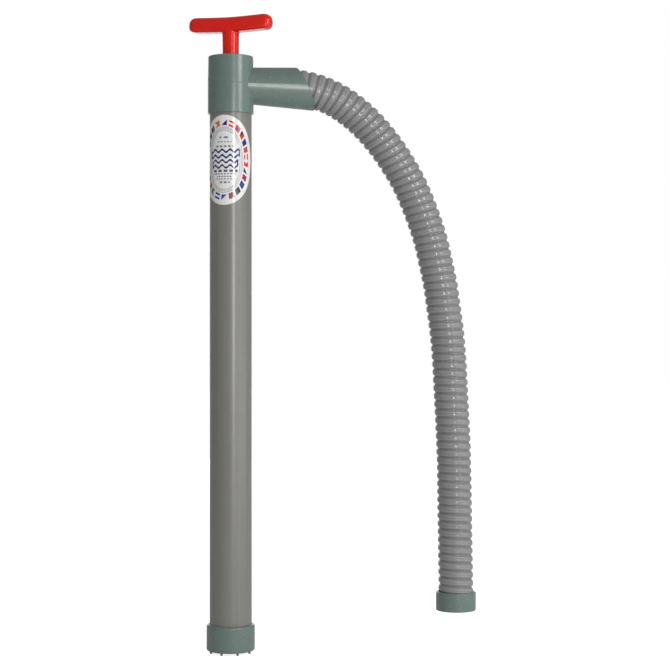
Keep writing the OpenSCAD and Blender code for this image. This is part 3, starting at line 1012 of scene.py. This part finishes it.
# %% [markdown]
# Inside the ring comes the rope between its two ovals, placed by their depth in from the edge. The waves
# and rules are bars, each drawn over the one before: a dark wave first, and a paler, thinner one on it
# leaves an outline. A broken rule is a bar cut by a fast sine wave.

# %% Print the label
EVENING = 0.095
MEAN_HALF, HALF_SWING = (LABEL_H + LABEL_W) / 4 / MM, (LABEL_H - LABEL_W) / 4 / MM
ROPE_STRANDS = 92
THIN_INK = 0.9
# Each wave: its middle's height, half its width, half its length and its ink.
WAVES = [(0.14, 0.085, 0.52, NAVY), (0.14, 0.036, 0.47, PAPER),
         (-0.09, 0.08, 0.46, NAVY), (-0.09, 0.034, 0.41, PAPER)]
# Each rule: the same, with the rate of its breaks before the ink.
RULES = [(0.5, 0.02, 0.16, 30.0, BLUE), (0.4, 0.012, 0.24, 60.0, SLATE),
         (0.3, 0.02, 0.32, 46.0, SLATE), (-0.245, 0.026, 0.44, 34.0, NAVY),
         (-0.31, 0.014, 0.4, 60.0, SLATE), (-0.37, 0.012, 0.26, 70.0, NAVY),
         (-0.425, 0.012, 0.34, 66.0, SLATE), (-0.5, 0.022, 0.18, 44.0, SLATE)]


def label_places(tree):
    """x and y from -1 to 1, the turn round the oval from 0 to 1, and the depth in from its edge in mm."""
    uv = tree.nodes.new("ShaderNodeUVMap")
    uv.uv_map = label.data.uv_layers[0].name
    split = tree.nodes.new("ShaderNodeSeparateXYZ")
    tree.links.new(uv.outputs["UV"], split.inputs[0])
    x = times(tree, minus(tree, split.outputs["X"], 0.5), 2.0)
    y = times(tree, minus(tree, split.outputs["Y"], 0.5), 2.0)
    reach = maths(tree, "SQRT", plus(tree, times(tree, x, x), times(tree, y, y)))
    angle = maths(tree, "ARCTAN2", y, x)
    double = times(tree, angle, 2.0)
    even = plus(tree, angle, times(tree, maths(tree, "SINE", double), EVENING))
    turn = plus(tree, maths(tree, "DIVIDE", even, 2 * math.pi), 0.5)
    half_here = minus(tree, MEAN_HALF, times(tree, maths(tree, "COSINE", double), HALF_SWING))
    return x, y, turn, times(tree, minus(tree, 1.0, reach), half_here)


def draw_label(tree):
    """The print's colour, drawn layer on layer over the paper."""
    x, y, turn, depth = label_places(tree)
    drawn = flag_ring(tree, turn, depth)
    rope = over(tree, ripple_of(tree, turn, 2 * math.pi * ROPE_STRANDS), 0.2)
    rope = times(tree, rope, band(tree, depth, 13.1, 14.0))
    ovals = plus(tree, band(tree, depth, 12.0, 12.4), band(tree, depth, 14.9, 15.4))
    drawn = mix(tree, times(tree, plus(tree, rope, ovals, clamp=True), THIN_INK), drawn, INDIGO)
    rise = plus(tree, y, times(tree, ripple_of(tree, x, 24.0), 0.03))
    for middle, half, end, ink in WAVES:
        bar = times(tree, band(tree, rise, middle - half, middle + half), band(tree, x, -end, end))
        drawn = mix(tree, bar, drawn, ink)
    for middle, half, end, rate, ink in RULES:
        broken = over(tree, ripple_of(tree, x, rate), -0.5)
        bar = times(tree, band(tree, y, middle - half, middle + half), band(tree, x, -end, end))
        drawn = mix(tree, times(tree, times(tree, bar, broken), THIN_INK), drawn, ink)
    return drawn


def make_print():
    material, tree, shader, where = new_material("label_print")
    marks = use(tree, handling, Coordinates=where, Color=draw_label(tree), Soiling=0.06, Scuffs=0.05)
    tree.links.new(marks.outputs["Color"], shader.inputs["Base Color"])
    skin = use(tree, moulded_skin, Coordinates=where, Peel_Scale=500.0, Roughness=0.16, Gloss_Drift=0.05)
    tree.links.new(skin.outputs["Roughness"], shader.inputs["Roughness"])
    bump(tree, shader, skin.outputs["Height"], 0.01 * MM)
    return material


label.data.materials.append(make_print())
ready(label, "pump", "label_vinyl", "label")

# %% [markdown]
# ## The T-handle
#
# The handle is one moulding: a bar with a rounded back and a flatter underside, its ends swept up a
# little, on a stem that tapers down to the rod. The stem is as wide as the bar is deep, so where they
# meet the surfaces run into each other and a Boolean would leave slivers. A voxel remesh joins them in
# one skin instead, and smoothing it rounds the inside corners as the mould does.

# %% Model the handle
HANDLE_TURN = math.radians(-32)
BAR_LEN, BAR_H, BAR_W = 89 * MM, 15.2 * MM, 17 * MM
STEM_HIGH, STEM_TAPER = 24 * MM, 0.5 * MM
BAR_CROWN, BAR_EDGE, BAR_TIP = 6.6 * MM, 3.0 * MM, 9 * MM
BAR_DIP, BAR_LIFT = 15 * MM, 0.048
TIP_POWER, TIP_END, TIP_DROP = 2.4, 0.985, 1.2 * MM
stem_r = rod_r + 0.2 * MM
spigot_r = 6.15 * MM
stem_low = top("plunger_rod")
spigot_low = bottom("t_handle")
bar_z = stem_low + STEM_HIGH + BAR_H / 2


def make_bar():
    """A cube stretched to the bar, cut into slices, with the end slices drawn in and lifted."""
    bpy.ops.mesh.primitive_cube_add(size=1, location=(0, 0, bar_z))
    bar = named("bar")
    bar.scale = (BAR_LEN, BAR_W, BAR_H)
    place(bar)
    edit(bar)
    for face, offset, steps in ((bar_z + BAR_H / 2, BAR_CROWN, 8), (bar_z - BAR_H / 2, BAR_EDGE, 5)):
        pick_edges(bar, lambda a, b: all(abs(p.z - face) < 1e-6 for p in (a, b)) and abs(a.y - b.y) < 1e-6)
        bpy.ops.mesh.bevel(offset=offset, segments=steps, affect="EDGES")
    slices = [math.sin(math.radians(a)) for a in range(0, 90, 9)]
    inner = BAR_LEN / 2 - BAR_TIP
    half = [inner * k / 8 for k in range(1, 8)] + [inner + BAR_TIP * s for s in slices]
    cuts = [-c for c in half] + [0] + half
    for cut in cuts:
        bpy.ops.mesh.select_all(action="SELECT")
        bpy.ops.mesh.bisect(plane_co=(cut, 0, 0), plane_no=(1, 0, 0))
    for x in [-BAR_LEN / 2] + cuts + [BAR_LEN / 2]:
        along = min(max((abs(x) - inner) / BAR_TIP, 0.0), TIP_END)
        keep = math.sqrt(1 - along ** TIP_POWER)
        lift = BAR_LIFT * (math.hypot(x, BAR_DIP) - BAR_DIP)
        pick_edges(bar, lambda a, b: abs(a.x - x) < 1e-5 and abs(b.x - x) < 1e-5)
        bpy.ops.transform.resize(value=(1, keep, keep), center_override=(x, 0, bar_z - TIP_DROP))
        bpy.ops.transform.translate(value=(0, 0, lift))
    done()
    return bar


def make_handle():
    handle = make_bar()
    stem = upright("stem", stem_r, stem_low - 1 * MM, bar_z, stem_r + STEM_TAPER, 96)
    only(handle)
    stem.select_set(True)
    bpy.ops.object.join()
    apply(handle, "REMESH", mode="VOXEL", voxel_size=0.45 * MM, adaptivity=0.0)
    apply(handle, "SMOOTH", factor=0.5, iterations=22)
    edit(handle)
    bpy.ops.mesh.select_all(action="SELECT")
    bpy.ops.mesh.bisect(plane_co=(0, 0, stem_low), plane_no=(0, 0, 1), use_fill=True, clear_inner=True)
    done()
    spigot = upright("spigot", spigot_r, spigot_low, stem_low + 2 * MM, vertices=64)
    only(handle)
    spigot.select_set(True)
    bpy.ops.object.join()
    handle.name = "handle"
    handle.data.transform(Matrix.Rotation(HANDLE_TURN, 4, "Z"))
    smooth(handle, 50)
    return handle


handle = make_handle()
handle.data.materials.append(red)
ready(handle, "plunger", "red_handle", "t_handle")

# %% [markdown]
# ## The pieces that keep their CAD shape
#
# The rod, the guide cap and everything inside the barrel already have their true shape, so they only get
# their finish. The materials are put in the CAD objects' own slots.

# %% Finish the CAD nodes
CAD_FINISHES = {
    "plunger_rod": rod_pipe, "head_cap": teal_matt, "inlet_strainer": teal_matt,
    "cap_gasket": rubber, "rod_wiper": rubber, "seat_gasket": rubber, "foot_valve_disc": rubber,
    "piston_ring": rubber, "piston_valve_disc": rubber, "rod_bumper": rubber,
    "gland_ring": steel, "foot_valve_stop": steel, "foot_valve_screw": steel, "handle_pin": steel,
    "piston_pin": steel, "piston_screw": steel,
    "foot_valve_seat": nylon, "piston_body": nylon, "piston_plate": nylon, "piston_valve_stop": nylon}
for node, finish in CAD_FINISHES.items():
    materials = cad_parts[node].data.materials
    materials.clear()
    materials.append(finish)
print("finished CAD nodes:", len(CAD_FINISHES))

# %% [markdown]
# ## The studio
#
# A pale floor and a white world, which look white but light the pump only a little. A narrow lamp just
# right of the camera draws the bright line down the barrel, and a high one further right draws a second on
# the head. A wide panel beside them lights the right half softly, and a low one lifts the foot and the
# cuff. The left is lit by the world alone, and one lamp behind serves the views from there.

# %% Lay the floor
floor_z = bottom("foot_cap")
bpy.ops.object.select_all(action="DESELECT")
bpy.ops.mesh.primitive_plane_add(size=16, location=(0, 0, floor_z))
floor = named("floor")
place(floor)
floor_paint, floor_tree, floor_shader, _ = new_material("floor_paint")
floor_shader.inputs["Base Color"].default_value = (0.8, 0.8, 0.8, 1)
floor_shader.inputs["Roughness"].default_value = 0.7
floor_shader.inputs["Emission Color"].default_value = (1, 1, 1, 1)
seen_directly = floor_tree.nodes.new("ShaderNodeLightPath").outputs["Is Camera Ray"]
glow = maths(floor_tree, "MULTIPLY_ADD", seen_directly, 0.7, 0.09)
floor_tree.links.new(glow, floor_shader.inputs["Emission Strength"])
floor.data.materials.append(floor_paint)
floor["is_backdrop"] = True


# %% Hang the lamps
LAMP_AIM = Vector((0.06, 0, 0.33))


def lamp(name, turn, away, height, size, power, tint=(1, 1, 1)):
    """An area lamp, turn degrees to the right of the camera as seen from the pump, aimed at it."""
    data = bpy.data.lights.new(name, "AREA")
    data.shape = "RECTANGLE"
    data.size, data.size_y = size
    data.energy = power
    data.color = tint
    item = bpy.data.objects.new(name, data)
    bpy.context.scene.collection.objects.link(item)
    angle = CAMERA_TURN + math.radians(turn)
    item.location = (math.sin(angle) * away, -math.cos(angle) * away, height)
    aim = LAMP_AIM - item.location
    item.rotation_euler = aim.to_track_quat("-Z", "Y").to_euler()


lamp("strip", 19.5, 2.3, 0.5, (0.24, 0.66), 14, (1, 0.98, 0.95))
lamp("broad", 51.5, 2.0, 1.08, (0.55, 0.66), 12, (1, 0.99, 0.97))
lamp("panel", 66, 2.4, 0.7, (3.0, 2.2), 10)
lamp("low", 62, 2.2, 0.12, (2.6, 0.3), 6)
lamp("rear", 185, 2.6, 0.6, (2.4, 1.4), 14)

# %% Light the world
world = bpy.data.worlds.new("studio")
bpy.context.scene.world = world
world.use_nodes = True
sky = world.node_tree
background = sky.nodes["Background"]
seen = sky.nodes.new("ShaderNodeBackground")
seen.inputs["Strength"].default_value = 1.0
seen.inputs["Color"].default_value = (1, 1, 1, 1)
background.inputs["Color"].default_value = (1, 1, 1, 1)
background.inputs["Strength"].default_value = 0.36
choose = sky.nodes.new("ShaderNodeMixShader")
path = sky.nodes.new("ShaderNodeLightPath")
sky.links.new(path.outputs["Is Camera Ray"], choose.inputs[0])
sky.links.new(background.outputs[0], choose.inputs[1])
sky.links.new(seen.outputs[0], choose.inputs[2])
sky.links.new(choose.outputs[0], sky.nodes["World Output"].inputs["Surface"])
bpy.context.scene.view_settings.view_transform = "Standard"

# %% [markdown]
# The last step writes the CAD model's box and the finished model's box side by side, and hands the scene
# over.

# %% Write the sizes and finish
bpy.data.objects.remove(hose_line)
bpy.context.view_layer.update()
sizes = {name: [list(corner) for corner in box] for name, box in (("cad", cad_box), ("visual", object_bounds()))}
print("sizes:", sizes)
